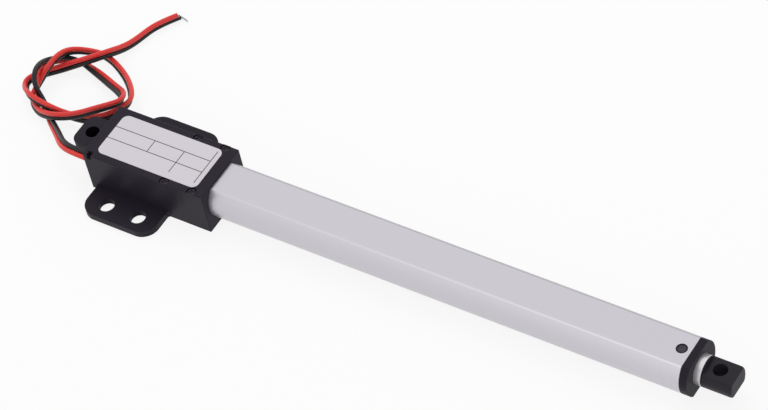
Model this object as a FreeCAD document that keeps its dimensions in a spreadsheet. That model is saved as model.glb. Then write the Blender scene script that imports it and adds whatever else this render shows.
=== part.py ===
import FreeCAD, Part
import math
import os
import re

import Sketcher
from FreeCAD import Placement, Rotation, Vector

# Electric linear actuator, 150 mm stroke, drawn closed.
# Millimetres. X runs forward along the rod, Z up, Y to the left.
# The origin is on the tube's axis, at the axis of the rear pivot hole.

SIZES = {
    "Travel": {
        "stroke": 150.0,
        "nut_gap": 0.4,
        "stop_gap": 0.5,
        "running_gap": 0.05,
        "fit_gap": 0.02,
    },
    "Housing": {
        "body_rear": 3.8,
        "body_length": 42.4,
        "body_width": 20.1,
        "body_top": 6.9,
        "body_bottom": 8.1,
        "corner_round": 0.3,
        "top_round": 0.25,
        "rear_wall": 1.8,
        "bay_gap": 0.15,
        "seat_gap": 0.03,
    },
    "Rear lug": {
        "lug_overhang": 4.3,
        "lug_width": 11.2,
        "lug_top": 4.1,
        "lug_thickness": 6.0,
        "lug_corner": 2.8,
        "pivot_hole": 4.2,
    },
    "Mounting ears": {
        "ear_centre": 18.8,
        "ear_length": 25.0,
        "ear_span": 41.1,
        "ear_thickness": 2.2,
        "ear_corner": 5.0,
        "ear_root_round": 0.8,
        "ear_hole": 4.8,
        "ear_hole_spacing": 11.15,
        "ear_row_spacing": 31.1,
    },
    "Cover screws": {
        "screw_front_inset": 4.2,
        "screw_pitch": 9.6,
        "screw_side_inset": 1.05,
        "screw_head": 2.6,
        "screw_head_height": 0.9,
        "screw_shank": 1.2,
        "screw_length": 4.6,
        "recess_gap": 0.3,
        "recess_depth": 0.65,
    },
    "Cable gate": {
        "gate_wall": 0.5,
        "gate_width": 2.3,
        "gate_low": 2.75,
        "gate_high": 5.05,
        "notch_setback": 1.5,
        "notch_length": 1.6,
        "notch_width": 1.75,
        "notch_depth": 1.8,
    },
    "Label": {
        "label_setback": 3.6,
        "label_length": 35.15,
        "label_width": 15.6,
        "label_thickness": 0.15,
        "label_corner": 2.0,
    },
    "Tube": {
        "tube_radius": 8.1,
        "tube_flat": 6.05,
        "tube_wall": 0.8,
        "tube_seat": 11.5,
    },
    "Front cap": {
        "cap_thickness": 2.4,
        "spigot_length": 4.2,
        "seal_width": 1.0,
        "seal_depth": 0.7,
        "seal_inset": 0.8,
        "pin_diameter": 3.0,
        "pin_setback": 2.8,
        "pin_recess": 0.15,
    },
    "Rod and clevis": {
        "rod_radius": 4.5,
        "rod_bore": 3.2,
        "rod_show": 2.1,
        "clevis_radius": 4.5,
        "clevis_flat": 2.8,
        "clevis_collar": 0.8,
        "clevis_reach": 4.1,
        "clevis_nose": 5.0,
        "clevis_shank": 5.0,
        "clevis_hole": 4.2,
        "clevis_edge": 0.3,
    },
    "Drive": {
        "nut_length": 6.0,
        "nut_spigot": 3.0,
        "nut_side": 4.7,
        "thread_radius": 2.5,
        "thread_end": 1.0,
        "journal_radius": 2.0,
        "bearing_radius": 4.0,
        "bearing_width": 3.0,
        "ring_thickness": 0.75,
        "carrier_lip": 0.6,
        "lip_bore": 3.2,
        "coupling_radius": 3.5,
        "coupling_length": 3.1,
        "coupling_gap": 0.3,
        "shaft_radius": 1.5,
        "shaft_show": 1.9,
        "shaft_seat": 2.5,
        "journal_show": 1.75,
    },
    "Motor": {
        "motor_radius": 6.0,
        "motor_flat": 5.0,
        "gearbox_length": 9.0,
        "bay_clearance": 1.0,
        "bell_length": 1.2,
        "bell_step": 0.3,
        "terminal_length": 0.8,
        "terminal_width": 1.5,
        "terminal_thickness": 0.3,
        "terminal_spacing": 7.0,
    },
    "Limit switches": {
        "board_thickness": 0.8,
        "board_half_height": 2.2,
        "board_inset": 5.9,
        "board_gap": 0.2,
        "switch_length": 6.0,
        "switch_half_height": 1.6,
        "switch_clearance": 0.2,
    },
    "Cable": {
        "cable_diameter": 2.0,
        "tip_diameter": 0.7,
        "tip_length": 1.8,
        "tip_spacing": 1.1,
    },
}
NAMES = {name for group in SIZES.values() for name in group}

# Stations along X, and levels that several pieces share.
BODY_FRONT = "(body_rear + body_length)"
BAY_REAR = "(body_rear + rear_wall)"
TUBE_REAR = f"({BODY_FRONT} - tube_seat)"
CARRIER_LENGTH = "(bearing_width + carrier_lip)"
CARRIER_FRONT = f"({TUBE_REAR} + {CARRIER_LENGTH})"
NUT_REAR = f"({CARRIER_FRONT} + nut_gap)"
NUT_FRONT = f"({NUT_REAR} + nut_length)"
SPIGOT_REAR = f"({NUT_FRONT} + stroke + stop_gap)"
TUBE_FRONT = f"({SPIGOT_REAR} + spigot_length)"
CAP_FRONT = f"({TUBE_FRONT} + cap_thickness)"
CLEVIS_REAR = f"({CAP_FRONT} + rod_show)"
CLEVIS_HOLE = f"({CLEVIS_REAR} + clevis_reach)"
GEARBOX_FRONT = f"({TUBE_REAR} - coupling_length - 2 * coupling_gap)"
GEARBOX_REAR = f"({GEARBOX_FRONT} - gearbox_length)"
BELL_REAR = f"({BAY_REAR} + bay_clearance + terminal_length)"
CAN_REAR = f"({BELL_REAR} + bell_length)"
COUPLING_REAR = f"({GEARBOX_FRONT} + coupling_gap)"
JOURNAL_REAR = f"({TUBE_REAR} - journal_show)"
BORE_RADIUS = "(rod_radius + running_gap)"
INNER_RADIUS = "(tube_radius - tube_wall)"
INNER_FLAT = "(tube_flat - tube_wall)"
SCREW_FLOOR = "(body_top - recess_depth - screw_head_height)"
SCREW_XS = (f"({BODY_FRONT} - screw_front_inset - screw_pitch)", f"({BODY_FRONT} - screw_front_inset)")
SCREW_Y = "(body_width / 2 - screw_side_inset)"
LABEL_REAR = "(body_rear + label_setback)"

# The cable's route: the middle of the pair, from inside the housing to its bare end.
CABLE_ROUTE = [
    # Out of the gate, past the lug and down to the floor.
    (5.5, -8.4, 3.9), (1.2, -8.4, 3.9), (-6.0, -5.7, 2.1), (-14.3, 0.1, -2.9), (-22.1, 5.7, -6.9),
    (-26.6, 9.2, -7.0),
    # First loop: over the second and third rounds, then along the floor to the hairpin.
    (-30.3, 11.8, -6.2), (-32.9, 13.6, -4.4), (-35.4, 17.0, -4.1), (-37.1, 21.2, -5.2),
    (-36.8, 25.6, -6.9), (-33.1, 27.9, -7.0), (-27.8, 29.4, -7.0), (-19.7, 27.2, -6.5),
    (-9.8, 22.5, -3.4), (-4.5, 19.9, -1.0), (-1.1, 17.5, 0.9), (0.0, 15.1, 1.9), (-2.0, 12.8, 1.9),
    # Back behind the lug, over the first round and round on the floor.
    (-6.2, 9.5, 1.3), (-10.6, 6.8, -0.1), (-15.7, 5.7, -2.2), (-21.1, 5.2, -4.0), (-26.6, 6.2, -6.0),
    (-31.1, 8.7, -6.9), (-33.6, 12.0, -7.0), (-34.4, 15.6, -7.1), (-34.3, 18.6, -5.9),
    (-33.8, 22.1, -4.4), (-33.6, 27.6, -4.6), (-31.5, 31.9, -6.1), (-26.2, 34.2, -7.0),
    (-19.1, 33.7, -7.0), (-11.1, 29.5, -5.9), (-4.3, 23.9, -3.5), (-0.5, 18.9, -2.0),
    # Third round, under the second by the lug and over it at the far left.
    (0.2, 15.3, -1.5), (-1.5, 12.6, -1.8), (-5.2, 10.5, -2.4), (-9.1, 8.9, -3.3), (-14.0, 8.5, -4.8),
    (-18.8, 8.6, -5.4), (-23.1, 8.3, -4.7), (-27.8, 8.7, -4.4), (-32.4, 9.8, -4.5),
    (-36.9, 12.2, -6.1), (-38.8, 15.2, -7.0), (-37.9, 18.0, -7.0), (-34.7, 21.1, -7.0),
    # The tail, over both upper strands and out along the floor.
    (-30.9, 24.0, -6.5), (-26.4, 26.6, -4.8), (-23.0, 30.2, -4.4), (-20.2, 33.4, -4.5),
    (-18.2, 38.2, -6.2), (-16.0, 43.7, -7.0), (-13.2, 50.8, -7.0), (-10.0, 57.0, -7.0),
]
CORNER_SHARE = 0.45
VOLUME_TOLERANCE = 0.01

doc = FreeCAD.newDocument("linear_actuator")
sheet = doc.addObject("Spreadsheet::Sheet", "sizes")


def fill_sheet():
    """One row for each driving size: its name in column A, its value in column B."""
    row = 1
    for group, sizes in SIZES.items():
        sheet.set(f"A{row}", group)
        row += 1
        for name, value in sizes.items():
            sheet.set(f"A{row}", name)
            sheet.set(f"B{row}", str(value))
            sheet.setAlias(f"B{row}", name)
            row += 1
    doc.recompute()


def formula(text):
    """The formula with each size's name led to the sheet."""
    def lead(match):
        word = match.group()
        return f"sizes.{word}" if word in NAMES else word
    return re.sub(r"[a-z][a-z_]*", lead, str(text))


def value(text):
    """The formula's number as the sheet gives it now."""
    return float(sheet.evalExpression(formula(text)))


def bind(thing, key, text):
    thing.setExpression(key, formula(text))


def minus(text):
    return f"(0 - ({text}))"


# Sketches and features

def new_body(label):
    body = doc.addObject("PartDesign::Body", label)
    body.Label = label
    return body


def new_sketch(body, role, offset="0"):
    """A sketch on one of the body's own origin planes, moved along the plane's normal."""
    sketch = body.newObject("Sketcher::SketchObject", "sketch")
    plane = next(f for f in body.Origin.OriginFeatures if f.Role == role)
    sketch.AttachmentSupport = [(plane, "")]
    sketch.MapMode = "FlatFace"
    bind(sketch, "AttachmentOffset.Base.z", offset)
    return sketch


def constrain(sketch, *parts, size=None):
    index = sketch.addConstraint(Sketcher.Constraint(*parts))
    if size is not None:
        bind(sketch, f"Constraints[{index}]", size)


def draw_rectangle(sketch, left, right, low, high):
    """A rectangle with each side at a formula's distance from the sketch's origin."""
    x0, x1, y0, y1 = (value(text) for text in (left, right, low, high))
    corners = [Vector(x0, y0), Vector(x1, y0), Vector(x1, y1), Vector(x0, y1)]
    first = sketch.GeometryCount
    for i in range(4):
        sketch.addGeometry(Part.LineSegment(corners[i], corners[(i + 1) % 4]))
    for i in range(4):
        constrain(sketch, "Coincident", first + i, 2, first + (i + 1) % 4, 1)
    for i in (0, 2):
        constrain(sketch, "Horizontal", first + i)
        constrain(sketch, "Vertical", first + i + 1)
    constrain(sketch, "DistanceX", -1, 1, first, 1, x0, size=left)
    constrain(sketch, "DistanceX", -1, 1, first + 1, 1, x1, size=right)
    constrain(sketch, "DistanceY", -1, 1, first, 1, y0, size=low)
    constrain(sketch, "DistanceY", -1, 1, first + 2, 1, y1, size=high)


def draw_circle(sketch, radius, x="0", y="0"):
    centre = Vector(value(x), value(y), 0)
    index = sketch.addGeometry(Part.Circle(centre, Vector(0, 0, 1), value(radius)))
    constrain(sketch, "DistanceX", -1, 1, index, 3, centre.x, size=x)
    constrain(sketch, "DistanceY", -1, 1, index, 3, centre.y, size=y)
    constrain(sketch, "Radius", index, value(radius), size=radius)


def draw_flatted_circle(sketch, radius, flat):
    """A circle about the axis with its top and bottom cut off flat."""
    r, z = value(radius), value(flat)
    y = math.sqrt(r * r - z * z)
    turn = math.atan2(z, y)
    circle = Part.Circle(Vector(0, 0, 0), Vector(0, 0, 1), r)
    first = sketch.GeometryCount
    sketch.addGeometry(Part.LineSegment(Vector(y, z), Vector(-y, z)))
    sketch.addGeometry(Part.ArcOfCircle(circle, math.pi - turn, math.pi + turn))
    sketch.addGeometry(Part.LineSegment(Vector(-y, -z), Vector(y, -z)))
    sketch.addGeometry(Part.ArcOfCircle(circle, -turn, turn))
    for i in range(4):
        constrain(sketch, "Coincident", first + i, 2, first + (i + 1) % 4, 1)
    for i in (1, 3):
        constrain(sketch, "Coincident", first + i, 3, -1, 1)
        constrain(sketch, "Horizontal", first + i - 1)
    constrain(sketch, "Radius", first + 1, r, size=radius)
    constrain(sketch, "DistanceY", -1, 1, first, 1, z, size=flat)
    constrain(sketch, "DistanceY", -1, 1, first + 2, 1, -z, size=minus(flat))


def pad(body, sketch, length, backward=False):
    feature = body.newObject("PartDesign::Pad", "pad")
    feature.Profile = sketch
    bind(feature, "Length", length)
    feature.Reversed = backward
    doc.recompute()
    return feature


def pocket(body, sketch, length, forward=False):
    """Cuts against the sketch's normal, or along it when forward."""
    feature = body.newObject("PartDesign::Pocket", "pocket")
    feature.Profile = sketch
    bind(feature, "Length", length)
    feature.Reversed = forward
    doc.recompute()
    return feature


def edges_where(shape, test):
    """The names of the straight or curved edges whose two ends pass the test."""
    names = []
    for i, edge in enumerate(shape.Edges, 1):
        ends = [v.Point for v in edge.Vertexes]
        if len(ends) == 2 and test(*ends):
            names.append(f"Edge{i}")
    return names


def round_edges(body, radius, test):
    """Rounds the edges of the body so far whose ends pass the test."""
    base = body.Tip
    feature = body.newObject("PartDesign::Fillet", "round")
    feature.Base = (base, edges_where(base.Shape, test))
    bind(feature, "Radius", radius)
    doc.recompute()
    return feature


def upright(a, b):
    return abs(a.x - b.x) < 1e-6 and abs(a.y - b.y) < 1e-6


def same(a, b):
    return abs(a - b) < 1e-4


# Part primitives

def cylinder_x(radius, start, length, name="cylinder"):
    """A cylinder about the tube's axis."""
    solid = doc.addObject("Part::Cylinder", name)
    solid.Placement = Placement(Vector(0, 0, 0), Rotation(Vector(0, 1, 0), 90))
    bind(solid, "Radius", radius)
    bind(solid, "Height", length)
    bind(solid, "Placement.Base.x", start)
    return solid


def cylinder_z(radius, low, height, x, y="0", name="cylinder"):
    solid = doc.addObject("Part::Cylinder", name)
    bind(solid, "Radius", radius)
    bind(solid, "Height", height)
    bind(solid, "Placement.Base.x", x)
    bind(solid, "Placement.Base.y", y)
    bind(solid, "Placement.Base.z", low)
    return solid


def box(x, y, z, length, width, height, name="box"):
    """A box from its lowest corner."""
    solid = doc.addObject("Part::Box", name)
    bind(solid, "Length", length)
    bind(solid, "Width", width)
    bind(solid, "Height", height)
    bind(solid, "Placement.Base.x", x)
    bind(solid, "Placement.Base.y", y)
    bind(solid, "Placement.Base.z", z)
    return solid


def ring_x(label, outer, inner, start, length):
    """A plain ring about the tube's axis."""
    ring = doc.addObject("Part::Cut", label)
    ring.Base = cylinder_x(outer, start, length)
    ring.Tool = cylinder_x(inner, start, length)
    ring.Label = label
    return ring


def fused(label, solids):
    joined = doc.addObject("Part::MultiFuse", label)
    joined.Shapes = solids
    joined.Label = label
    return joined


# Housing

def cut_bay_and_seat(body):
    """The motor's bay and the tube's seat, both open forward along the axis."""
    bay = new_sketch(body, "YZ_Plane", BAY_REAR)
    draw_flatted_circle(bay, "motor_radius + bay_gap", "motor_flat + bay_gap")
    pocket(body, bay, f"{TUBE_REAR} - {BAY_REAR}", forward=True)
    seat = new_sketch(body, "YZ_Plane", TUBE_REAR)
    draw_flatted_circle(seat, "tube_radius + seat_gap", "tube_flat + seat_gap")
    pocket(body, seat, "tube_seat", forward=True)


def draw_screw_circles(sketch, radius):
    for x in SCREW_XS:
        for y in (SCREW_Y, minus(SCREW_Y)):
            draw_circle(sketch, radius, x, y)


def draw_gate(sketch):
    """The cable's way through the rear wall, beside the near wall."""
    draw_rectangle(sketch, "body_rear", BAY_REAR,
                   "gate_wall - body_width / 2", "gate_wall + gate_width - body_width / 2")


def round_upright_corners(body):
    """The four upright edges of the body's block."""
    rear, front = value("body_rear"), value(BODY_FRONT)
    half = value("body_width / 2")

    def corner(a, b):
        return upright(a, b) and same(abs(a.y), half) and (same(a.x, rear) or same(a.x, front))
    round_edges(body, "corner_round", corner)


def housing_base():
    """Tray with the motor's bay, two mounting ears and the rear lug in one moulding."""
    body = new_body("housing_base")
    floor = minus("body_bottom")
    block = new_sketch(body, "XY_Plane", floor)
    draw_rectangle(block, "body_rear", BODY_FRONT, minus("body_width / 2"), "body_width / 2")
    pad(body, block, "body_bottom + lug_top")
    round_upright_corners(body)
    add_ears(body, floor)
    add_lug(body)
    cut_bay_and_seat(body)
    holes = new_sketch(body, "XY_Plane", "ear_thickness - body_bottom")
    for x in ("ear_centre - ear_hole_spacing / 2", "ear_centre + ear_hole_spacing / 2"):
        for y in ("ear_row_spacing / 2", minus("ear_row_spacing / 2")):
            draw_circle(holes, "ear_hole / 2", x, y)
    pocket(body, holes, "ear_thickness")
    pivot = new_sketch(body, "XY_Plane", "lug_top")
    draw_circle(pivot, "pivot_hole / 2")
    pocket(body, pivot, "lug_thickness")
    pilots = new_sketch(body, "XY_Plane", "lug_top")
    draw_screw_circles(pilots, "screw_shank / 2")
    pocket(body, pilots, f"screw_length - ({SCREW_FLOOR} - lug_top) + fit_gap")
    gate = new_sketch(body, "XY_Plane", "lug_top")
    draw_gate(gate)
    pocket(body, gate, "lug_top - gate_low")
    return body


def add_ears(body, floor):
    """One plate across the floor makes both ears; its corners and roots are rounded."""
    plate = new_sketch(body, "XY_Plane", floor)
    draw_rectangle(plate, "ear_centre - ear_length / 2", "ear_centre + ear_length / 2",
                   minus("ear_span / 2"), "ear_span / 2")
    pad(body, plate, "ear_thickness")
    side = value("ear_span / 2")
    wall = value("body_width / 2")
    ends = [value("ear_centre - ear_length / 2"), value("ear_centre + ear_length / 2")]

    def at_end(a):
        return any(same(a.x, end) for end in ends)
    round_edges(body, "ear_corner", lambda a, b: upright(a, b) and same(abs(a.y), side))
    round_edges(body, "ear_root_round",
                lambda a, b: upright(a, b) and same(abs(a.y), wall) and at_end(a))


def add_lug(body):
    """The tongue behind the body that carries the rear pivot hole."""
    tongue = new_sketch(body, "XY_Plane", "lug_top - lug_thickness")
    draw_rectangle(tongue, minus("lug_overhang"), "body_rear + rear_wall / 2",
                   minus("lug_width / 2"), "lug_width / 2")
    pad(body, tongue, "lug_thickness")
    end = value(minus("lug_overhang"))
    round_edges(body, "lug_corner", lambda a, b: upright(a, b) and same(a.x, end))


def housing_cover():
    """Lid over the motor, with four recessed screws beside the tube and a notch over the cable."""
    body = new_body("housing_cover")
    plate = new_sketch(body, "XY_Plane", "lug_top")
    draw_rectangle(plate, "body_rear", BODY_FRONT, minus("body_width / 2"), "body_width / 2")
    pad(body, plate, "body_top - lug_top")
    round_upright_corners(body)
    top = value("body_top")
    round_edges(body, "top_round", lambda a, b: same(a.z, top) and same(b.z, top))
    cut_bay_and_seat(body)
    recesses = new_sketch(body, "XY_Plane", "body_top")
    draw_screw_circles(recesses, "screw_head / 2 + recess_gap")
    pocket(body, recesses, "recess_depth + screw_head_height")
    holes = new_sketch(body, "XY_Plane", SCREW_FLOOR)
    draw_screw_circles(holes, "screw_shank / 2 + fit_gap")
    pocket(body, holes, f"{SCREW_FLOOR} - lug_top")
    gate = new_sketch(body, "XY_Plane", "gate_high")
    draw_gate(gate)
    pocket(body, gate, "gate_high - lug_top")
    notch = new_sketch(body, "XY_Plane", "body_top")
    draw_rectangle(notch, "body_rear + notch_setback", "body_rear + notch_setback + notch_length",
                   minus("body_width / 2"), "notch_width - body_width / 2")
    pocket(body, notch, "notch_depth")
    return body


def cover_screws():
    """Four equal self-tapping screws; their heads sit below the lid's face."""
    solids = []
    for x in SCREW_XS:
        for y in (SCREW_Y, minus(SCREW_Y)):
            solids.append(cylinder_z("screw_head / 2", SCREW_FLOOR, "screw_head_height", x, y))
            solids.append(cylinder_z("screw_shank / 2 - fit_gap", f"{SCREW_FLOOR} - screw_length",
                                     "screw_length", x, y))
    return fused("cover_screws", solids)


def label_plate():
    """The bare label on the lid."""
    body = new_body("label_plate")
    sketch = new_sketch(body, "XY_Plane", "body_top")
    draw_rectangle(sketch, LABEL_REAR, f"{LABEL_REAR} + label_length",
                   minus("label_width / 2"), "label_width / 2")
    pad(body, sketch, "label_thickness")
    round_edges(body, "label_corner", upright)
    return body


# Tube and cap

def outer_tube():
    """Drawn tube, round with a flat above and below."""
    body = new_body("outer_tube")
    section = new_sketch(body, "YZ_Plane", TUBE_REAR)
    draw_flatted_circle(section, "tube_radius", "tube_flat")
    draw_flatted_circle(section, INNER_RADIUS, INNER_FLAT)
    pad(body, section, f"{TUBE_FRONT} - {TUBE_REAR}")
    hole = new_sketch(body, "XY_Plane", "tube_flat")
    draw_circle(hole, "pin_diameter / 2", f"{TUBE_FRONT} - pin_setback")
    pocket(body, hole, "tube_wall")
    return body


def front_cap():
    """End cap with the tube's outline, a spigot in the tube and the rod's bore."""
    body = new_body("front_cap")
    face = new_sketch(body, "YZ_Plane", TUBE_FRONT)
    draw_flatted_circle(face, "tube_radius", "tube_flat")
    pad(body, face, "cap_thickness")
    spigot = new_sketch(body, "YZ_Plane", TUBE_FRONT)
    draw_flatted_circle(spigot, f"{INNER_RADIUS} - fit_gap", f"{INNER_FLAT} - fit_gap")
    pad(body, spigot, "spigot_length", backward=True)
    bore = new_sketch(body, "YZ_Plane", CAP_FRONT)
    draw_circle(bore, BORE_RADIUS)
    pocket(body, bore, "cap_thickness + spigot_length")
    groove = new_sketch(body, "YZ_Plane", f"{CAP_FRONT} - seal_inset")
    draw_circle(groove, f"{BORE_RADIUS} + seal_depth")
    pocket(body, groove, "seal_width")
    hole = new_sketch(body, "XY_Plane", "tube_flat")
    draw_circle(hole, "pin_diameter / 2", f"{TUBE_FRONT} - pin_setback")
    pocket(body, hole, f"tube_flat - {BORE_RADIUS} - 2 * running_gap")
    return body


def cap_pin():
    """Round pin that holds the cap in the tube."""
    low = f"({BORE_RADIUS} + 2 * running_gap)"
    pin = cylinder_z("pin_diameter / 2 - fit_gap", low, f"tube_flat - pin_recess - {low}",
                     f"{TUBE_FRONT} - pin_setback", name="cap_pin")
    pin.Label = "cap_pin"
    return pin


def rod_seal():
    return ring_x("rod_seal", f"{BORE_RADIUS} + seal_depth - fit_gap", BORE_RADIUS,
                  f"{CAP_FRONT} - seal_inset - seal_width + fit_gap", "seal_width - 2 * fit_gap")


# Rod, clevis and nut: the pieces that slide

def piston_rod():
    body = new_body("piston_rod")
    section = new_sketch(body, "YZ_Plane", NUT_FRONT)
    draw_circle(section, "rod_radius")
    draw_circle(section, "rod_bore")
    pad(body, section, f"{CLEVIS_REAR} - {NUT_FRONT}")
    return body


def clevis_end():
    """Round end with two flats and a cross hole; its shank is fixed in the rod."""
    body = new_body("clevis_end")
    collar = new_sketch(body, "YZ_Plane", CLEVIS_REAR)
    draw_circle(collar, "clevis_radius")
    pad(body, collar, "clevis_collar")
    tongue = new_sketch(body, "YZ_Plane", f"{CLEVIS_REAR} + clevis_collar")
    draw_flatted_circle(tongue, "clevis_radius", "clevis_flat")
    pad(body, tongue, "clevis_reach + clevis_nose - clevis_collar")
    end = value(f"{CLEVIS_HOLE} + clevis_nose")
    round_edges(body, "clevis_edge", lambda a, b: same(a.x, end) and same(b.x, end))
    shank = new_sketch(body, "YZ_Plane", CLEVIS_REAR)
    draw_circle(shank, "rod_bore - fit_gap")
    pad(body, shank, "clevis_shank", backward=True)
    hole = new_sketch(body, "XY_Plane", "clevis_flat")
    draw_circle(hole, "clevis_hole / 2", CLEVIS_HOLE)
    pocket(body, hole, "2 * clevis_flat")
    return body


def drive_nut():
    """Nut on the rod's rear end; the tube's flats keep it from turning."""
    body = new_body("drive_nut")
    flange = new_sketch(body, "YZ_Plane", NUT_REAR)
    draw_flatted_circle(flange, f"{INNER_RADIUS} - 4 * running_gap", f"{INNER_FLAT} - 3 * running_gap")
    pad(body, flange, "nut_length")
    spigot = new_sketch(body, "YZ_Plane", NUT_FRONT)
    draw_circle(spigot, "rod_bore - fit_gap")
    pad(body, spigot, "nut_spigot")
    side = new_sketch(body, "YZ_Plane", NUT_REAR)
    draw_rectangle(side, "nut_side", "tube_radius", minus("tube_flat"), "tube_flat")
    pocket(body, side, "nut_length", forward=True)
    bore = new_sketch(body, "YZ_Plane", NUT_REAR)
    draw_circle(bore, "thread_radius + running_gap")
    pocket(body, bore, "nut_length + nut_spigot", forward=True)
    return body


# Screw, bearing and coupling: the pieces that turn, and what carries them

def lead_screw():
    body = new_body("lead_screw")
    journal = new_sketch(body, "YZ_Plane", JOURNAL_REAR)
    draw_circle(journal, "journal_radius")
    pad(body, journal, f"{CARRIER_FRONT} - {JOURNAL_REAR}")
    thread = new_sketch(body, "YZ_Plane", CARRIER_FRONT)
    draw_circle(thread, "thread_radius")
    pad(body, thread, f"{NUT_FRONT} + stroke + thread_end - {CARRIER_FRONT}")
    return body


def screw_coupling():
    """Sleeve that joins the gearbox's shaft to the screw's journal."""
    body = new_body("screw_coupling")
    sleeve = new_sketch(body, "YZ_Plane", COUPLING_REAR)
    draw_circle(sleeve, "coupling_radius")
    pad(body, sleeve, "coupling_length")
    rear = new_sketch(body, "YZ_Plane", COUPLING_REAR)
    draw_circle(rear, "shaft_radius + fit_gap")
    pocket(body, rear, f"{JOURNAL_REAR} - {COUPLING_REAR}", forward=True)
    front = new_sketch(body, "YZ_Plane", JOURNAL_REAR)
    draw_circle(front, "journal_radius + fit_gap")
    pocket(body, front, f"{COUPLING_REAR} + coupling_length - {JOURNAL_REAR}", forward=True)
    return body


def bearing_carrier():
    """Plug in the tube's rear end that holds the bearing behind a lip."""
    body = new_body("bearing_carrier")
    plug = new_sketch(body, "YZ_Plane", TUBE_REAR)
    draw_flatted_circle(plug, f"{INNER_RADIUS} - fit_gap", f"{INNER_FLAT} - fit_gap")
    pad(body, plug, CARRIER_LENGTH)
    seat = new_sketch(body, "YZ_Plane", TUBE_REAR)
    draw_circle(seat, "bearing_radius + fit_gap")
    pocket(body, seat, "bearing_width", forward=True)
    lip = new_sketch(body, "YZ_Plane", CARRIER_FRONT)
    draw_circle(lip, "lip_bore")
    pocket(body, lip, "carrier_lip")
    return body


def bearing_rings():
    """The outer ring stays in the carrier, the inner one turns with the journal."""
    outer = ring_x("bearing_outer_ring", "bearing_radius", "bearing_radius - ring_thickness",
                   TUBE_REAR, "bearing_width")
    inner = ring_x("bearing_inner_ring", "journal_radius + fit_gap + ring_thickness",
                   "journal_radius + fit_gap", TUBE_REAR, "bearing_width - running_gap")
    return [outer, inner]


# Motor and gearbox

def gearbox_case():
    body = new_body("gearbox_case")
    block = new_sketch(body, "YZ_Plane", GEARBOX_REAR)
    draw_flatted_circle(block, "motor_radius", "motor_flat")
    pad(body, block, "gearbox_length")
    bore = new_sketch(body, "YZ_Plane", GEARBOX_FRONT)
    draw_circle(bore, "shaft_radius + running_gap")
    pocket(body, bore, "shaft_seat + running_gap")
    return body


def gearbox_shaft():
    shaft = cylinder_x("shaft_radius", f"{GEARBOX_FRONT} - shaft_seat", "shaft_seat + shaft_show",
                       "gearbox_shaft")
    shaft.Label = "gearbox_shaft"
    return shaft


def motor_can():
    body = new_body("motor_can")
    section = new_sketch(body, "YZ_Plane", CAN_REAR)
    draw_flatted_circle(section, "motor_radius", "motor_flat")
    pad(body, section, f"{GEARBOX_REAR} - {CAN_REAR}")
    return body


def motor_end_bell():
    body = new_body("motor_end_bell")
    section = new_sketch(body, "YZ_Plane", BELL_REAR)
    draw_flatted_circle(section, "motor_radius - bell_step", "motor_flat - bell_step")
    pad(body, section, "bell_length")
    return body


def motor_terminals():
    """Two tabs behind the end bell."""
    tabs = []
    for middle in ("terminal_spacing / 2", minus("terminal_spacing / 2")):
        tabs.append(box(f"{BELL_REAR} - terminal_length", f"{middle} - terminal_thickness / 2",
                        minus("terminal_width / 2"), "terminal_length", "terminal_thickness",
                        "terminal_width"))
    return fused("motor_terminals", tabs)


# Limit switches

def switch_board():
    """Strip beside the rod that carries both limit switches."""
    strip = box(f"{CARRIER_FRONT} + board_gap", "board_inset", minus("board_half_height"),
                f"{SPIGOT_REAR} - {CARRIER_FRONT} - 2 * board_gap", "board_thickness",
                "2 * board_half_height", "switch_board")
    strip.Label = "switch_board"
    return strip


def limit_switches():
    starts = {
        "rear_limit_switch": f"{CARRIER_FRONT} + board_gap",
        "front_limit_switch": f"{SPIGOT_REAR} - board_gap - switch_length",
    }
    low = "nut_side + switch_clearance"
    switches = []
    for label, start in starts.items():
        case = box(start, low, minus("switch_half_height"), "switch_length",
                   f"board_inset - ({low})", "2 * switch_half_height", label)
        case.Label = label
        switches.append(case)
    return switches


# Cable

def tangent_arc(before, corner, after):
    """The arc that rounds one corner of the route, and its radius."""
    back, ahead = before - corner, after - corner
    turn = math.pi - back.getAngle(ahead)
    reach = CORNER_SHARE * min(back.Length, ahead.Length)
    radius = reach / math.tan(turn / 2)
    start = corner + back.normalize() * reach
    end = corner + ahead.normalize() * reach
    inward = (back + ahead).normalize()
    middle = corner + inward * (radius / math.cos(turn / 2) - radius)
    return Part.Arc(start, middle, end), radius


def cable_wire(points):
    """Straight runs joined by tangent arcs."""
    edges, radii = [], []
    start = points[0]
    for before, corner, after in zip(points, points[1:], points[2:]):
        arc, radius = tangent_arc(before, corner, after)
        edges += [Part.LineSegment(start, arc.StartPoint).toShape(), arc.toShape()]
        radii.append(round(radius, 1))
        start = arc.EndPoint
    edges.append(Part.LineSegment(start, points[-1]).toShape())
    print("cable radii", radii)
    return Part.Wire(edges)


def twin_cable():
    """The two-core cable as a plain tube of about the pair's section."""
    points = [Vector(*place) for place in CABLE_ROUTE]
    wire = cable_wire(points)
    radius = value("cable_diameter / 2")
    circle = Part.Circle(points[0], points[1] - points[0], radius)
    tube = wire.makePipeShell([Part.Wire(circle.toShape())], True, True)
    expected = math.pi * radius ** 2 * wire.Length
    print(f"cable length {wire.Length:.1f} volume {tube.Volume:.1f} expected {expected:.1f}")
    if abs(tube.Volume / expected - 1) > VOLUME_TOLERANCE:
        raise RuntimeError("the cable's volume doesn't match its length")
    cable = doc.addObject("Part::Feature", "twin_cable")
    cable.Shape = Part.Solid(tube) if tube.ShapeType == "Shell" else tube
    cable.Label = "twin_cable"
    return cable


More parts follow.
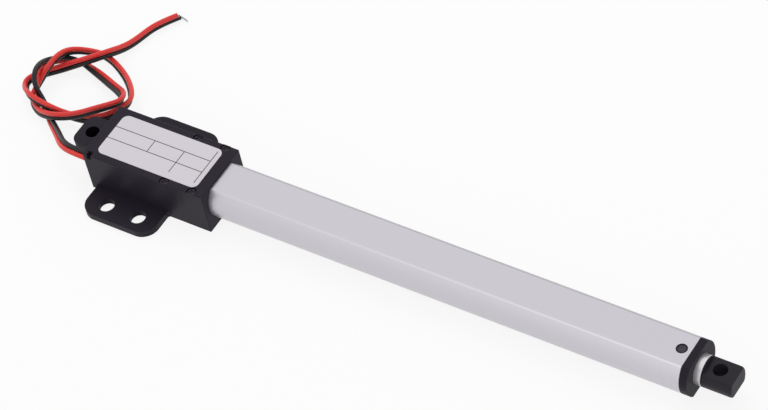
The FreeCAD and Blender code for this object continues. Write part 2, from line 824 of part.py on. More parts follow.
def wire_tips():
    """The bare ends of the two cores, side by side at the cable's end."""
    end = Vector(*CABLE_ROUTE[-1])
    along = (end - Vector(*CABLE_ROUTE[-2])).normalize()
    across = along.cross(Vector(0, 0, 1)).normalize()
    tips = []
    for side in (1, -1):
        tip = doc.addObject("Part::Cylinder", "tip")
        bind(tip, "Radius", "tip_diameter / 2")
        bind(tip, "Height", "tip_length")
        tip.Placement = Placement(end + across * (side * value("tip_spacing / 2")),
                                  Rotation(Vector(0, 0, 1), along))
        tips.append(tip)
    return fused("wire_tips", tips)


# Checks and output

def check_cuts():
    """Every pocket has taken material from what it cuts."""
    for pocketed in doc.findObjects("PartDesign::Pocket"):
        before = pocketed.BaseFeature.Shape.Volume
        if not pocketed.Shape.Volume < before - 1e-6:
            raise RuntimeError(f"{pocketed.Name} in {pocketed.getParent().Label} cuts nothing")


def check_objects():
    for thing in doc.Objects:
        if "Invalid" in thing.State or "Error" in thing.State:
            raise RuntimeError(f"{thing.Label} didn't compute: {thing.State}")


def export(pieces):
    os.makedirs("parts", exist_ok=True)
    for piece in pieces:
        if piece.Shape.isNull() or not piece.Shape.isValid():
            raise RuntimeError(f"{piece.Label} has no valid shape")
        piece.Shape.exportStep(f"parts/{piece.Label}.step")
        print(f"{piece.Label:22s} solids {len(piece.Shape.Solids)} volume {piece.Shape.Volume:9.2f}")


def build():
    fill_sheet()
    pieces = [housing_base(), housing_cover(), cover_screws(), label_plate()]
    pieces += [outer_tube(), front_cap(), cap_pin(), rod_seal()]
    pieces += [piston_rod(), clevis_end(), drive_nut()]
    pieces += [lead_screw(), screw_coupling(), bearing_carrier(), *bearing_rings()]
    pieces += [gearbox_case(), gearbox_shaft(), motor_can(), motor_end_bell(), motor_terminals()]
    pieces += [switch_board(), *limit_switches()]
    pieces += [twin_cable(), wire_tips()]
    doc.recompute()
    check_objects()
    check_cuts()
    export(pieces)


build()
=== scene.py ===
import math

import bpy
import numpy as np
from mathutils import Matrix, Vector


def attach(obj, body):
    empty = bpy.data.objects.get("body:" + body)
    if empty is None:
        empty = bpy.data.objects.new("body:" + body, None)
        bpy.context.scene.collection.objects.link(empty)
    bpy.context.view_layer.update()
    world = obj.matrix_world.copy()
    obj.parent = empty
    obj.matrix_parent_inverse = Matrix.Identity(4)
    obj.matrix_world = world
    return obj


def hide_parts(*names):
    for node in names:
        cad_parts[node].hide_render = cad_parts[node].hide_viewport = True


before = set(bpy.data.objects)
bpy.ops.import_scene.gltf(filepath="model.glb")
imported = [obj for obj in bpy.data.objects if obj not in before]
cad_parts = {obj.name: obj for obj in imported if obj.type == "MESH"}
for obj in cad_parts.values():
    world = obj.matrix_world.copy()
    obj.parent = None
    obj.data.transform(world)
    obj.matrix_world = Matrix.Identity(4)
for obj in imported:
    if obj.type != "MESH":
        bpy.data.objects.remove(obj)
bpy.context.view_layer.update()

MM = 0.001
FLOOR = -8.1 * MM
UPWARD = np.array([0, 0, 1.0])

# The housing with its holes and its label, as in the CAD.
HOUSING_SIDE = 10.05 * MM
COVER_TOP = 6.9 * MM
LUG_HOLE = 2.1 * MM
EAR_HOLE = 2.4 * MM
EAR_MIDDLE = 18.8 * MM
EAR_SPACING_X = 11.15 * MM
EAR_SPACING_Y = 31.1 * MM
LABEL_REAR = 7.4 * MM
LABEL_LENGTH = 35.15 * MM
LABEL_WIDTH = 15.6 * MM
SCREW_HEAD = 2.6 * MM
SCREW_PLACES = [(x * MM, y * MM) for x in (32.4, 42.0) for y in (9.0, -9.0)]

# The tube, the cap's pin and the rod, as in the CAD.
TUBE_REAR = 34.7 * MM
TUBE_LENGTH = 164.7 * MM
PIN_X = 196.6 * MM
ROD_RADIUS = 4.5 * MM
ROD_FRONT = 203.9 * MM
END_HOLE_X = 208 * MM
END_HOLE = 2.1 * MM
END_FLAT = 2.8 * MM

# The camera, fitted to measured points of the photo.
CAMERA_PLACE = Vector((538.131, -483.249, 756.131)) * MM
CAMERA_AZIMUTH = 41.8945
CAMERA_ELEVATION = 48.5395
CAMERA_ROLL = 13.6314
CAMERA_LENS = 166.4886
SENSOR_WIDTH = 36.0


def make_camera():
    """Starts looking straight down, rolls about its view, tilts to its elevation and turns to its
    azimuth."""
    data = bpy.data.cameras.new("camera")
    data.lens = CAMERA_LENS
    data.sensor_width = SENSOR_WIDTH
    data.clip_start = 0.01
    camera = bpy.data.objects.new("camera", data)
    bpy.context.scene.collection.objects.link(camera)
    turn = Matrix.Rotation(math.radians(CAMERA_AZIMUTH), 4, "Z")
    tilt = Matrix.Rotation(math.radians(90 - CAMERA_ELEVATION), 4, "X")
    roll = Matrix.Rotation(math.radians(-CAMERA_ROLL), 4, "Z")
    camera.matrix_world = Matrix.Translation(CAMERA_PLACE) @ turn @ tilt @ roll
    bpy.context.scene.camera = camera


make_camera()


# Parts of the finishes

def new_material(name):
    material = bpy.data.materials.new(name)
    material.use_nodes = True
    return material, material.node_tree, material.node_tree.nodes["Principled BSDF"]


def maths(tree, operation, a, b=0.0):
    """One Math node; a and b are sockets or plain numbers."""
    node = tree.nodes.new("ShaderNodeMath")
    node.operation = operation
    for socket, value in zip(node.inputs, (a, b)):
        if isinstance(value, (int, float)):
            socket.default_value = value
        else:
            tree.links.new(value, socket)
    return node.outputs[0]


def mix_colours(tree, factor, first, second):
    """The first where the factor is 0 and the second where it is 1; each is a colour or a socket."""
    mix = tree.nodes.new("ShaderNodeMix")
    mix.data_type = "RGBA"
    for name, colour in (("A", first), ("B", second)):
        if isinstance(colour, tuple):
            mix.inputs[name].default_value = (*colour, 1)
        else:
            tree.links.new(colour, mix.inputs[name])
    tree.links.new(factor, mix.inputs["Factor"])
    return mix.outputs["Result"]


def object_plan(tree):
    """The object's own X and Y as two sockets."""
    place = tree.nodes.new("ShaderNodeTexCoord")
    split = tree.nodes.new("ShaderNodeSeparateXYZ")
    tree.links.new(place.outputs["Object"], split.inputs["Vector"])
    return split.outputs["X"], split.outputs["Y"]


def new_group(name, inputs, outputs):
    """An empty node group with its named sockets; gives its tree, what goes in and what comes out."""
    tree = bpy.data.node_groups.new(name, "ShaderNodeTree")
    for way, sockets in (("INPUT", inputs), ("OUTPUT", outputs)):
        for socket, kind in sockets.items():
            tree.interface.new_socket(name=socket, in_out=way, socket_type=kind)
    return tree, tree.nodes.new("NodeGroupInput").outputs, tree.nodes.new("NodeGroupOutput").inputs


def place_group(tree, group, values):
    """Puts a group in a material with its own values and gives what comes out."""
    node = tree.nodes.new("ShaderNodeGroup")
    node.node_tree = group
    for name, value in values.items():
        node.inputs[name].default_value = value
    return node.outputs[0]


def make_grain_group():
    """Noise on the object's own coordinates, drawn out along an axis whose stretch is below 1. The scale is
    in features to the metre."""
    inputs = {"Scale": "NodeSocketFloat", "Stretch": "NodeSocketVector"}
    tree, given, result = new_group("fine_grain", inputs, {"Height": "NodeSocketFloat"})
    place = tree.nodes.new("ShaderNodeTexCoord")
    mapping = tree.nodes.new("ShaderNodeMapping")
    noise = tree.nodes.new("ShaderNodeTexNoise")
    tree.links.new(place.outputs["Object"], mapping.inputs["Vector"])
    tree.links.new(given["Stretch"], mapping.inputs["Scale"])
    tree.links.new(mapping.outputs["Vector"], noise.inputs["Vector"])
    tree.links.new(given["Scale"], noise.inputs["Scale"])
    tree.links.new(noise.outputs["Fac"], result["Height"])
    return tree


def make_round_group():
    """1 where the distance from an upright axis through the middle is less than the radius, else 0."""
    inputs = {"Middle": "NodeSocketVector", "Radius": "NodeSocketFloat"}
    tree, given, result = new_group("round_mask", inputs, {"Mask": "NodeSocketFloat"})
    place = tree.nodes.new("ShaderNodeTexCoord")
    apart, level, length = (tree.nodes.new("ShaderNodeVectorMath") for step in range(3))
    apart.operation, level.operation, length.operation = "SUBTRACT", "MULTIPLY", "LENGTH"
    tree.links.new(place.outputs["Object"], apart.inputs[0])
    tree.links.new(given["Middle"], apart.inputs[1])
    tree.links.new(apart.outputs["Vector"], level.inputs[0])
    level.inputs[1].default_value = (1, 1, 0)
    tree.links.new(level.outputs["Vector"], length.inputs[0])
    tree.links.new(maths(tree, "LESS_THAN", length.outputs["Value"], given["Radius"]), result["Mask"])
    return tree


GRAIN_GROUP = make_grain_group()
ROUND_GROUP = make_round_group()


def grain(tree, scale, stretch=(1, 1, 1)):
    return place_group(tree, GRAIN_GROUP, {"Scale": scale, "Stretch": stretch})


def round_mask(tree, x, y, radius):
    return place_group(tree, ROUND_GROUP, {"Middle": (x, y, 0), "Radius": radius})


def distance(tree, x, y):
    """The root of the sum of the squares."""
    squares = maths(tree, "ADD", maths(tree, "POWER", x, 2.0), maths(tree, "POWER", y, 2.0))
    return maths(tree, "SQRT", squares)


def folded(tree, value, middle, half_spacing):
    """How far the value lies past the nearer of two places that stand the same way off the middle."""
    apart = maths(tree, "ABSOLUTE", maths(tree, "SUBTRACT", value, middle))
    return maths(tree, "SUBTRACT", apart, half_spacing)


def band(tree, value, middle, half):
    """1 where the value is within half of the middle, else 0."""
    apart = maths(tree, "ABSOLUTE", maths(tree, "SUBTRACT", value, middle))
    return maths(tree, "LESS_THAN", apart, half)


def largest(tree, values):
    """The largest of several sockets."""
    result = values[0]
    for value in values[1:]:
        result = maths(tree, "MAXIMUM", result, value)
    return result


def add_bump(tree, shader, height, depth):
    bump = tree.nodes.new("ShaderNodeBump")
    bump.inputs["Distance"].default_value = depth
    tree.links.new(height, bump.inputs["Height"])
    tree.links.new(bump.outputs["Normal"], shader.inputs["Normal"])


def finish_of(name, colour, roughness, metallic=0.0, depth=0.0, grain_scale=3000, specular=0.5):
    """A plain finish; depth is that of the fine grain in its surface."""
    material, tree, shader = new_material(name)
    shader.inputs["Base Color"].default_value = (*colour, 1)
    shader.inputs["Roughness"].default_value = roughness
    shader.inputs["Metallic"].default_value = metallic
    shader.inputs["Specular IOR Level"].default_value = specular
    if depth:
        add_bump(tree, shader, grain(tree, grain_scale), depth)
    return material


# Finishes

HOUSING_BLACK = (0.022, 0.0173, 0.0261)
# Painted shade on the walls of the lug's and the ears' holes, and how much of it the ears get.
HOLE_PAINTED_SHADE = (0.008, 0.006, 0.01)
HOUSING_GLOSS = 0.1
HOLE_MARGIN = 0.03 * MM
EAR_HOLE_SHADE = 0.45


def make_housing_material():
    """Satin moulded black with a fine grain. Up to a margin past a hole's radius from its axis, which is on
    the hole's wall, it has painted shade, darker and duller: fully in the lug and in part in the ears.
    Folding x and y about the middle of the ears lays their four holes on one."""
    material = finish_of("housing_plastic", HOUSING_BLACK, 0.42, depth=0.03 * MM, grain_scale=2600)
    tree = material.node_tree
    shader = tree.nodes["Principled BSDF"]
    x, y = object_plan(tree)
    along = folded(tree, x, EAR_MIDDLE, EAR_SPACING_X / 2)
    across = folded(tree, y, 0.0, EAR_SPACING_Y / 2)
    in_lug = maths(tree, "LESS_THAN", distance(tree, x, y), LUG_HOLE + HOLE_MARGIN)
    in_ear = maths(tree, "LESS_THAN", distance(tree, along, across), EAR_HOLE + HOLE_MARGIN)
    # Painted shade on the holes' walls: full in the lug, in part in the ears.
    painted_wall_shade = largest(tree, [in_lug, maths(tree, "MULTIPLY", in_ear, EAR_HOLE_SHADE)])
    tree.links.new(mix_colours(tree, painted_wall_shade, HOUSING_BLACK, HOLE_PAINTED_SHADE), shader.inputs["Base Color"])
    gloss = maths(tree, "MULTIPLY", maths(tree, "SUBTRACT", 1.0, painted_wall_shade), HOUSING_GLOSS)
    tree.links.new(gloss, shader.inputs["Specular IOR Level"])
    return material


# The tube's near edge has a painted highlight line, whose painted light fades out over the round side; its
# far edge has painted shade.
TUBE_SILVER = (0.6, 0.581, 0.625)
NEAR_EDGE_PAINTED_HIGHLIGHT = (0.8, 0.775, 0.825)
FAR_EDGE_PAINTED_SHADE = (0.45, 0.435, 0.47)
NEAR_EDGE_Y = -5.5 * MM
NEAR_EDGE_HALF = 0.22 * MM
NEAR_EDGE_HIGHLIGHT_STRENGTH = 0.9
SIDE_FADE = 2.6 * MM
SIDE_HIGHLIGHT_STRENGTH = 0.45
HIGHLIGHT_AT_HOUSING = 0.25
FAR_EDGE_Y = 5.15 * MM
# Painted shade in a dark rim round the pin's hole, on the tube.
PIN_RIM = 1.68 * MM
PIN_RIM_PAINTED_SHADE = (0.03, 0.025, 0.035)
# The pin's painted reflection: a lighter, mottled middle.
PIN_MIDDLE = 1.15 * MM
PIN_BLACK = (0.008, 0.006, 0.01)
PIN_PAINTED_REFLECTION = (0.07, 0.06, 0.08)


def make_tube_material():
    """Satin aluminium with its grain drawn out along it and painted shade in a dark rim round the pin's
    hole. The near edge has a painted highlight line, the side beyond it has painted light that falls evenly
    from less to none, and both weaken towards the housing. The far edge has a painted shade line."""
    material, tree, shader = new_material("tube_aluminium")
    shader.inputs["Roughness"].default_value = 0.38
    shader.inputs["Metallic"].default_value = 0.75
    add_bump(tree, shader, grain(tree, 900, stretch=(0.05, 1, 1)), 0.004 * MM)
    x, y = object_plan(tree)
    line = band(tree, y, NEAR_EDGE_Y, NEAR_EDGE_HALF)
    outward = maths(tree, "SUBTRACT", NEAR_EDGE_Y, y)
    fade = maths(tree, "SUBTRACT", 1.0, maths(tree, "DIVIDE", outward, SIDE_FADE))
    beyond = maths(tree, "GREATER_THAN", outward, 0.0)
    side = maths(tree, "MULTIPLY", maths(tree, "MAXIMUM", fade, 0.0), beyond)
    light = largest(tree, [maths(tree, "MULTIPLY", line, NEAR_EDGE_HIGHLIGHT_STRENGTH),
                           maths(tree, "MULTIPLY", side, SIDE_HIGHLIGHT_STRENGTH)])
    forward = maths(tree, "DIVIDE", maths(tree, "SUBTRACT", x, TUBE_REAR), TUBE_LENGTH)
    gained = maths(tree, "MULTIPLY", forward, 1 - HIGHLIGHT_AT_HOUSING)
    strength = maths(tree, "ADD", gained, HIGHLIGHT_AT_HOUSING)
    # Painted highlight on the near edge and the side, weaker towards the housing; then painted shade on the
    # far edge and round the pin.
    colour = mix_colours(tree, maths(tree, "MULTIPLY", light, strength), TUBE_SILVER, NEAR_EDGE_PAINTED_HIGHLIGHT)
    colour = mix_colours(tree, maths(tree, "GREATER_THAN", y, FAR_EDGE_Y), colour, FAR_EDGE_PAINTED_SHADE)
    colour = mix_colours(tree, round_mask(tree, PIN_X, 0, PIN_RIM), colour, PIN_RIM_PAINTED_SHADE)
    tree.links.new(colour, shader.inputs["Base Color"])
    return material


def make_pin_material():
    """Black pin with a painted reflection in its middle, lighter and mottled."""
    material, tree, shader = new_material("cap_pin")
    shader.inputs["Roughness"].default_value = 0.35
    shader.inputs["Specular IOR Level"].default_value = 0.3
    mottled_painted_reflection = maths(tree, "MULTIPLY", round_mask(tree, PIN_X, 0, PIN_MIDDLE), grain(tree, 1500))
    tree.links.new(mix_colours(tree, mottled_painted_reflection, PIN_BLACK, PIN_PAINTED_REFLECTION), shader.inputs["Base Color"])
    return material


LABEL_FILM = (0.626, 0.596, 0.642)
LABEL_INK = (0.035, 0.03, 0.045)
RULE_HALF = 0.13 * MM
# The place, the start and the end of each ruled line, as shares of the label's length from the rear or of
# its width from the far edge.
RULES_ALONG = ((0.32, -0.1, 0.955), (0.61, -0.1, 0.955))
RULES_ACROSS = ((0.40, 0.32, 0.61), (0.695, 0.32, 0.86), (0.955, 0.06, 0.89))


def make_label_material():
    """Pale film with thin dark ruled lines and no lettering. A line is where one axis is near the line's
    place and the other lies between its ends."""
    material, tree, shader = new_material("label")
    shader.inputs["Roughness"].default_value = 0.35
    x, y = object_plan(tree)

    def along(share):
        return LABEL_REAR + share * LABEL_LENGTH

    def across(share):
        return LABEL_WIDTH * (0.5 - share)

    def ruled(over, place, run, start, end):
        inside = band(tree, run, (start + end) / 2, abs(end - start) / 2)
        return maths(tree, "MULTIPLY", band(tree, over, place, RULE_HALF), inside)

    drawn = [ruled(y, across(place), x, along(start), along(end)) for place, start, end in RULES_ALONG]
    drawn += [ruled(x, along(place), y, across(start), across(end)) for place, start, end in RULES_ACROSS]
    colour = mix_colours(tree, largest(tree, drawn), LABEL_FILM, LABEL_INK)
    tree.links.new(colour, shader.inputs["Base Color"])
    return material


HOUSING = make_housing_material()
CAP = finish_of("cap_plastic", (0.021, 0.017, 0.024), 0.45, depth=0.02 * MM, grain_scale=2600, specular=0.07)
ROD_END = finish_of("clevis_metal", (0.0262, 0.0225, 0.0292), 0.42, depth=0.01 * MM, specular=0.1)
ROD_END_BORE = finish_of("clevis_bore", (0.026, 0.023, 0.029), 0.6, specular=0.0)
SCREW = finish_of("black_screw_steel", (0.024, 0.019, 0.028), 0.4, specular=0.3)
ROD = finish_of("rod_steel", (0.76, 0.75, 0.77), 0.33, metallic=0.8, depth=0.003 * MM, grain_scale=1500)
SEAL = finish_of("seal_rubber", (0.012, 0.012, 0.012), 0.6)
RED = finish_of("red_insulation", (0.7, 0.035, 0.03), 0.36, depth=0.01 * MM, grain_scale=1500, specular=0.4)
BLACK = finish_of("black_insulation", (0.012, 0.011, 0.013), 0.38, depth=0.01 * MM, grain_scale=1500,
                  specular=0.3)
TINNED = finish_of("tinned_copper", (0.62, 0.62, 0.64), 0.5, metallic=0.3)
FINISHES = {
    "housing_base": HOUSING,
    "housing_cover": HOUSING,
    "front_cap": CAP,
    "rod_seal": SEAL,
    "piston_rod": ROD,
    "outer_tube": make_tube_material(),
    "cap_pin": make_pin_material(),
    "label_plate": make_label_material(),
}

for node, material in FINISHES.items():
    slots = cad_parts[node].data.materials
    slots.clear()
    slots.append(material)


# Meshes

def unit(vectors):
    """The same directions at length 1."""
    return vectors / np.linalg.norm(vectors, axis=-1, keepdims=True)


def beside_and_above(line):
    """For each point of a line, the level direction square to it, on its left, and the one above it."""
    ahead = unit(np.gradient(line, axis=0))
    level = unit(np.cross(UPWARD, ahead))
    return level, np.cross(ahead, level)


def full_turn(sides):
    return np.linspace(0, 2 * math.pi, sides, endpoint=False)


def rings_about_axis(turn, reach, height):
    """Points about the Z axis: each is at its turn, at its reach from the axis and at its height."""
    turn, reach, height = np.broadcast_arrays(turn, reach, height)
    return np.stack([reach * np.cos(turn), reach * np.sin(turn), height], axis=-1)


def tube_grid(centres, radius, sides):
    """Rings square to the line through the centres. A point is its centre, moved to the level side by the
    radius times the cosine of its turn and upwards by the radius times the sine of it."""
    level, above = beside_and_above(centres)
    turn = full_turn(sides)[None, :, None]
    return centres[:, None] + radius * (np.cos(turn) * level[:, None] + np.sin(turn) * above[:, None])


def tube_faces(rings, sides, first=0, closed=True):
    """Quads between neighbouring rings and, on a closed tube, one face across each end."""
    row = np.arange(rings - 1)[:, None] * sides + first
    side = np.arange(sides)[None, :]
    after = (side + 1) % sides
    quads = np.stack([row + side, row + sides + side, row + sides + after, row + after], axis=-1)
    faces = quads.reshape(-1, 4).tolist()
    if closed:
        last = first + (rings - 1) * sides
        faces += [list(range(first, first + sides)), list(range(last, last + sides))[::-1]]
    return faces


def ring_faces(rows, sides):
    """Quads of a grid that closes on itself both ways."""
    row = np.arange(rows)[:, None]
    side = np.arange(sides)[None, :]
    below, after = (row + 1) % rows, (side + 1) % sides
    quads = np.stack([row * sides + side, row * sides + after, below * sides + after, below * sides + side],
                     axis=-1)
    return quads.reshape(-1, 4).tolist()


def new_piece(name, points, faces, materials, material_of=None, smooth=True):
    """Makes a piece of points and faces; material_of gives the number of each face's material."""
    mesh = bpy.data.meshes.new(name)
    mesh.from_pydata(np.concatenate([part.reshape(-1, 3) for part in points]).tolist(), [], faces)
    for material in materials:
        mesh.materials.append(material)
    if material_of is not None:
        mesh.polygons.foreach_set("material_index", material_of)
    if smooth:
        mesh.shade_smooth()
    else:
        mesh.shade_flat()
    piece = bpy.data.objects.new(name, mesh)
    bpy.context.scene.collection.objects.link(piece)
    return piece


# Cable

# The CAD's route, with some points moved to follow the photo: the middle of the pair in mm, from
# the gate to the bare end.
CABLE_ROUTE = [
    # Out of the gate, past the lug and down to the floor.
    (5.5, -8.4, 3.9), (1.2, -8.4, 3.9), (-6.5, -7.0, 2.3), (-14.5, -0.4, -2.9), (-22.3, 5.5, -6.9),
    (-26.6, 9.2, -7.0),
    # First loop: over the second and third rounds, then along the floor to the hairpin.
    (-30.0, 11.5, -5.8), (-32.0, 12.7, -3.1), (-33.4, 15.1, -1.2), (-35.7, 19.8, -2.9),
    (-36.5, 25.3, -6.4), (-33.1, 27.9, -7.0), (-27.8, 29.4, -7.0), (-19.7, 27.2, -6.5),
    (-9.8, 22.5, -3.4), (-5.0, 20.0, -1.0), (-1.7, 17.5, 0.9), (-0.4, 15.0, 1.9), (-2.0, 12.8, 1.9),
    # Back behind the lug, over the first round and round on the floor.
    (-6.2, 9.5, 1.3), (-10.6, 6.8, -0.1), (-15.5, 5.5, -1.9), (-20.1, 4.3, -2.5), (-26.2, 5.9, -5.5),
    (-31.1, 8.7, -6.9), (-33.6, 12.0, -7.0), (-34.0, 15.3, -6.6), (-33.3, 17.7, -4.6),
    (-32.1, 20.4, -1.9), (-32.0, 26.0, -2.0), (-30.9, 31.3, -5.1), (-26.2, 34.2, -7.0),
    (-19.1, 33.7, -7.0), (-11.1, 29.5, -5.9), (-4.3, 23.9, -3.5), (-0.5, 18.9, -2.0),
    # Third round, under the second by the lug and over it at the far left.
    (-0.7, 15.8, -1.5), (-1.9, 12.7, -1.8), (-4.9, 10.0, -2.4), (-8.9, 8.4, -3.3), (-14.0, 8.5, -4.8),
    (-18.5, 8.3, -5.0), (-22.4, 7.7, -3.8), (-27.1, 8.1, -3.5), (-31.3, 8.6, -2.8),
    (-36.7, 12.6, -6.1), (-38.5, 15.7, -7.0), (-37.5, 17.5, -7.0), (-34.7, 21.1, -7.0),
    # The tail, over both upper strands and out along the floor.
    (-31.2, 24.4, -6.5), (-25.9, 26.2, -3.8), (-22.3, 29.5, -3.4), (-19.0, 32.1, -2.6),
    (-18.0, 38.0, -5.9), (-16.0, 44.0, -7.0), (-14.0, 51.3, -7.0), (-9.1, 57.6, -7.0),
]
# The pair's turn about its middle line at some points of the route, as the point's number and degrees. At 0
# the two cores lie level with the red one on the left of the way along, and at 90 the red one is on top.
CABLE_TWIST = [
    (0, -20), (2, -35), (4, -60), (6, -65), (7, -105), (9, -100), (11, -90), (13, -15), (15, 0), (16, 60),
    (18, 85), (22, 95), (27, 110), (31, 100), (33, 70), (35, 60), (36, 85), (37, 120), (39, 135), (41, 92),
    (44, 92), (45, 70), (46, 95), (48, 75), (50, 75), (52, 82), (54, 92), (56, 100),
]
CORE_RADIUS = 0.76 * MM
CORE_SIDES = 14
RING_STEP = 0.3 * MM
FLOOR_ROOM = 0.08 * MM

# Counted in rings: how far the running means reach to each side, how far ahead the next point of the route
# is looked for, and how much shorter the red core is than the black one.
LINE_REACH = 4
TWIST_REACH = 12
LIFT_REACH = 8
CORE_REACH = 2
SEARCH_RINGS = 400
RED_SHORTER = 4


def route_line():
    """The smooth middle line of the pair, read from a spline through the route."""
    curve = bpy.data.curves.new("cable_route", "CURVE")
    curve.dimensions = "3D"
    curve.resolution_u = 24
    spline = curve.splines.new("NURBS")
    spline.points.add(len(CABLE_ROUTE) - 1)
    for point, place in zip(spline.points, CABLE_ROUTE):
        point.co = (*(Vector(place) * MM), 1)
    spline.order_u = 3
    spline.use_endpoint_u = True
    guide = bpy.data.objects.new("cable_route", curve)
    bpy.context.scene.collection.objects.link(guide)
    mesh = bpy.data.meshes.new_from_object(guide)
    line = np.array([vertex.co[:] for vertex in mesh.vertices])
    bpy.data.objects.remove(guide)
    bpy.data.meshes.remove(mesh)
    return line


def evenly(line, step):
    """The line's points spaced evenly, and each one's distance along it."""
    along = np.r_[0, np.cumsum(np.linalg.norm(np.diff(line, axis=0), axis=1))]
    at = np.linspace(0, along[-1], int(along[-1] / step) + 1)
    return np.array([np.interp(at, along, line[:, k]) for k in range(3)]).T, at


def twist_along(line, at):
    """The pair's twist in radians at each point of the line. A listed twist belongs to the place on the
    line that is nearest to its point of the route, and the twist changes evenly between these."""
    places = np.array(CABLE_ROUTE) * MM
    listed, start = [], 0
    for number, degrees in CABLE_TWIST:
        apart = np.linalg.norm(line[start:start + SEARCH_RINGS] - places[number], axis=1)
        start += int(np.argmin(apart))
        listed.append((at[start], math.radians(degrees)))
    listed_at, listed_angle = np.array(listed).T
    return np.interp(at, listed_at, listed_angle)


def smoothed(values, reach):
    """Running mean over reach points each side."""
    padded = np.pad(values, [(reach, reach)] + [(0, 0)] * (values.ndim - 1), mode="edge")
    total = np.cumsum(np.concatenate([padded[:1] * 0, padded]), axis=0)
    width = 2 * reach + 1
    return (total[width:] - total[:-width]) / width


def make_cable():
    """Two bonded cores, each one radius from the pair's middle line. The red one stands off it by the
    cosine of the twist to the level side and by the sine of it upwards, and the black one opposite. Where
    the lower one would sink into the floor, both are lifted together."""
    line, at = evenly(route_line(), RING_STEP)
    line = smoothed(line, LINE_REACH)
    level, above = beside_and_above(line)
    twist = smoothed(twist_along(line, at), TWIST_REACH)[:, None]
    across = np.cos(twist) * level + np.sin(twist) * above
    lowest = line[:, 2] - CORE_RADIUS * (1 + np.abs(across[:, 2]))
    line[:, 2] += smoothed(np.maximum(FLOOR + FLOOR_ROOM - lowest, 0), LIFT_REACH)
    red = smoothed(line + CORE_RADIUS * across, CORE_REACH)[:-RED_SHORTER]
    black = smoothed(line - CORE_RADIUS * across, CORE_REACH)
    points = [tube_grid(core, CORE_RADIUS, CORE_SIDES) for core in (red, black)]
    red_faces = tube_faces(len(red), CORE_SIDES)
    black_faces = tube_faces(len(black), CORE_SIDES, first=len(red) * CORE_SIDES)
    material_of = [0] * len(red_faces) + [1] * len(black_faces)
    piece = new_piece("cable_cores", points, red_faces + black_faces, [RED, BLACK], material_of)
    return piece, line, (red, black)


cable, cable_line, cable_cores = make_cable()

# Six bare wires stand about a seventh at each core's end, the red core's hardly bare and the black core's
# bent to the right. They start a little inside the core. The start, ahead and splay are shares.
BARE_LENGTHS = (0.5 * MM, 2.5 * MM)
BARE_BEND = np.array((2.4, -1.3, 0.0)) * MM
BARE_START = -0.4
BARE_AHEAD = 0.35
BARE_SPLAY = 0.4
WIRES_ROUND = 6
WIRE_SPREAD = 0.25 * MM
WIRE_RADIUS = 0.13 * MM
WIRE_SIDES = 6
WIRE_RINGS = 9


def make_bare_strands():
    """Fine tinned wires. Each goes evenly ahead from the core's end, bends aside with the square of the way
    along it, and stands off the middle one by the spread, which grows with that square too."""
    share = np.linspace(BARE_START, 1, WIRE_RINGS)[:, None]
    points, faces = [], []
    for core, length in zip(cable_cores, BARE_LENGTHS):
        ahead = unit(core[-1] - core[-4])
        level = unit(np.cross(ahead, UPWARD))
        above = np.cross(level, ahead)
        bent = np.clip(share, 0, 1) ** 2 * BARE_BEND * length / max(BARE_LENGTHS)
        middle = core[-1] + ahead * length * BARE_AHEAD * share + bent
        offsets = [WIRE_SPREAD * (level * math.cos(turn) + above * math.sin(turn))
                   for turn in full_turn(WIRES_ROUND)]
        for offset in offsets + [np.zeros(3)]:
            centres = middle + offset * (1 + BARE_SPLAY * share ** 2)
            faces += tube_faces(WIRE_RINGS, WIRE_SIDES, first=len(points) * WIRE_RINGS * WIRE_SIDES)
            points.append(tube_grid(centres, WIRE_RADIUS, WIRE_SIDES))
    return new_piece("bare_strands", points, faces, [TINNED])


bare_strands = make_bare_strands()
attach(cable, "base")
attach(bare_strands, "base")
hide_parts("twin_cable")
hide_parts("wire_tips")


# Screw heads

# The height of the head's top, its cross, the crown that falls off to its rim, and its skirt.
SCREW_TOP = 6.62 * MM
SCREW_RINGS = 15
SCREW_SIDES = 48
CROSS_TURN = 25
CROSS_HALF = 0.24 * MM
CROSS_REACH = 0.85 * MM
CROSS_DEPTH = 0.3 * MM
CROWN_START = 1.05 * MM
CROWN_DROP = 0.18 * MM
SKIRT_DEPTH = 0.85 * MM

# The collar fills the cover's recess round the head.
COLLAR_INNER = 1.48 * MM
COLLAR_OUTER = 1.66 * MM
COLLAR_BEVEL = 0.04 * MM
COLLAR_FOOT = SCREW_TOP - 0.6 * MM
COLLAR_TOP = COVER_TOP - 0.01 * MM
COLLAR_SKIRT = 1.6 * MM

# How far inside the housing's side the collar's inner part and the head end.
COLLAR_INSET = 0.13 * MM
HEAD_INSET = 0.16 * MM


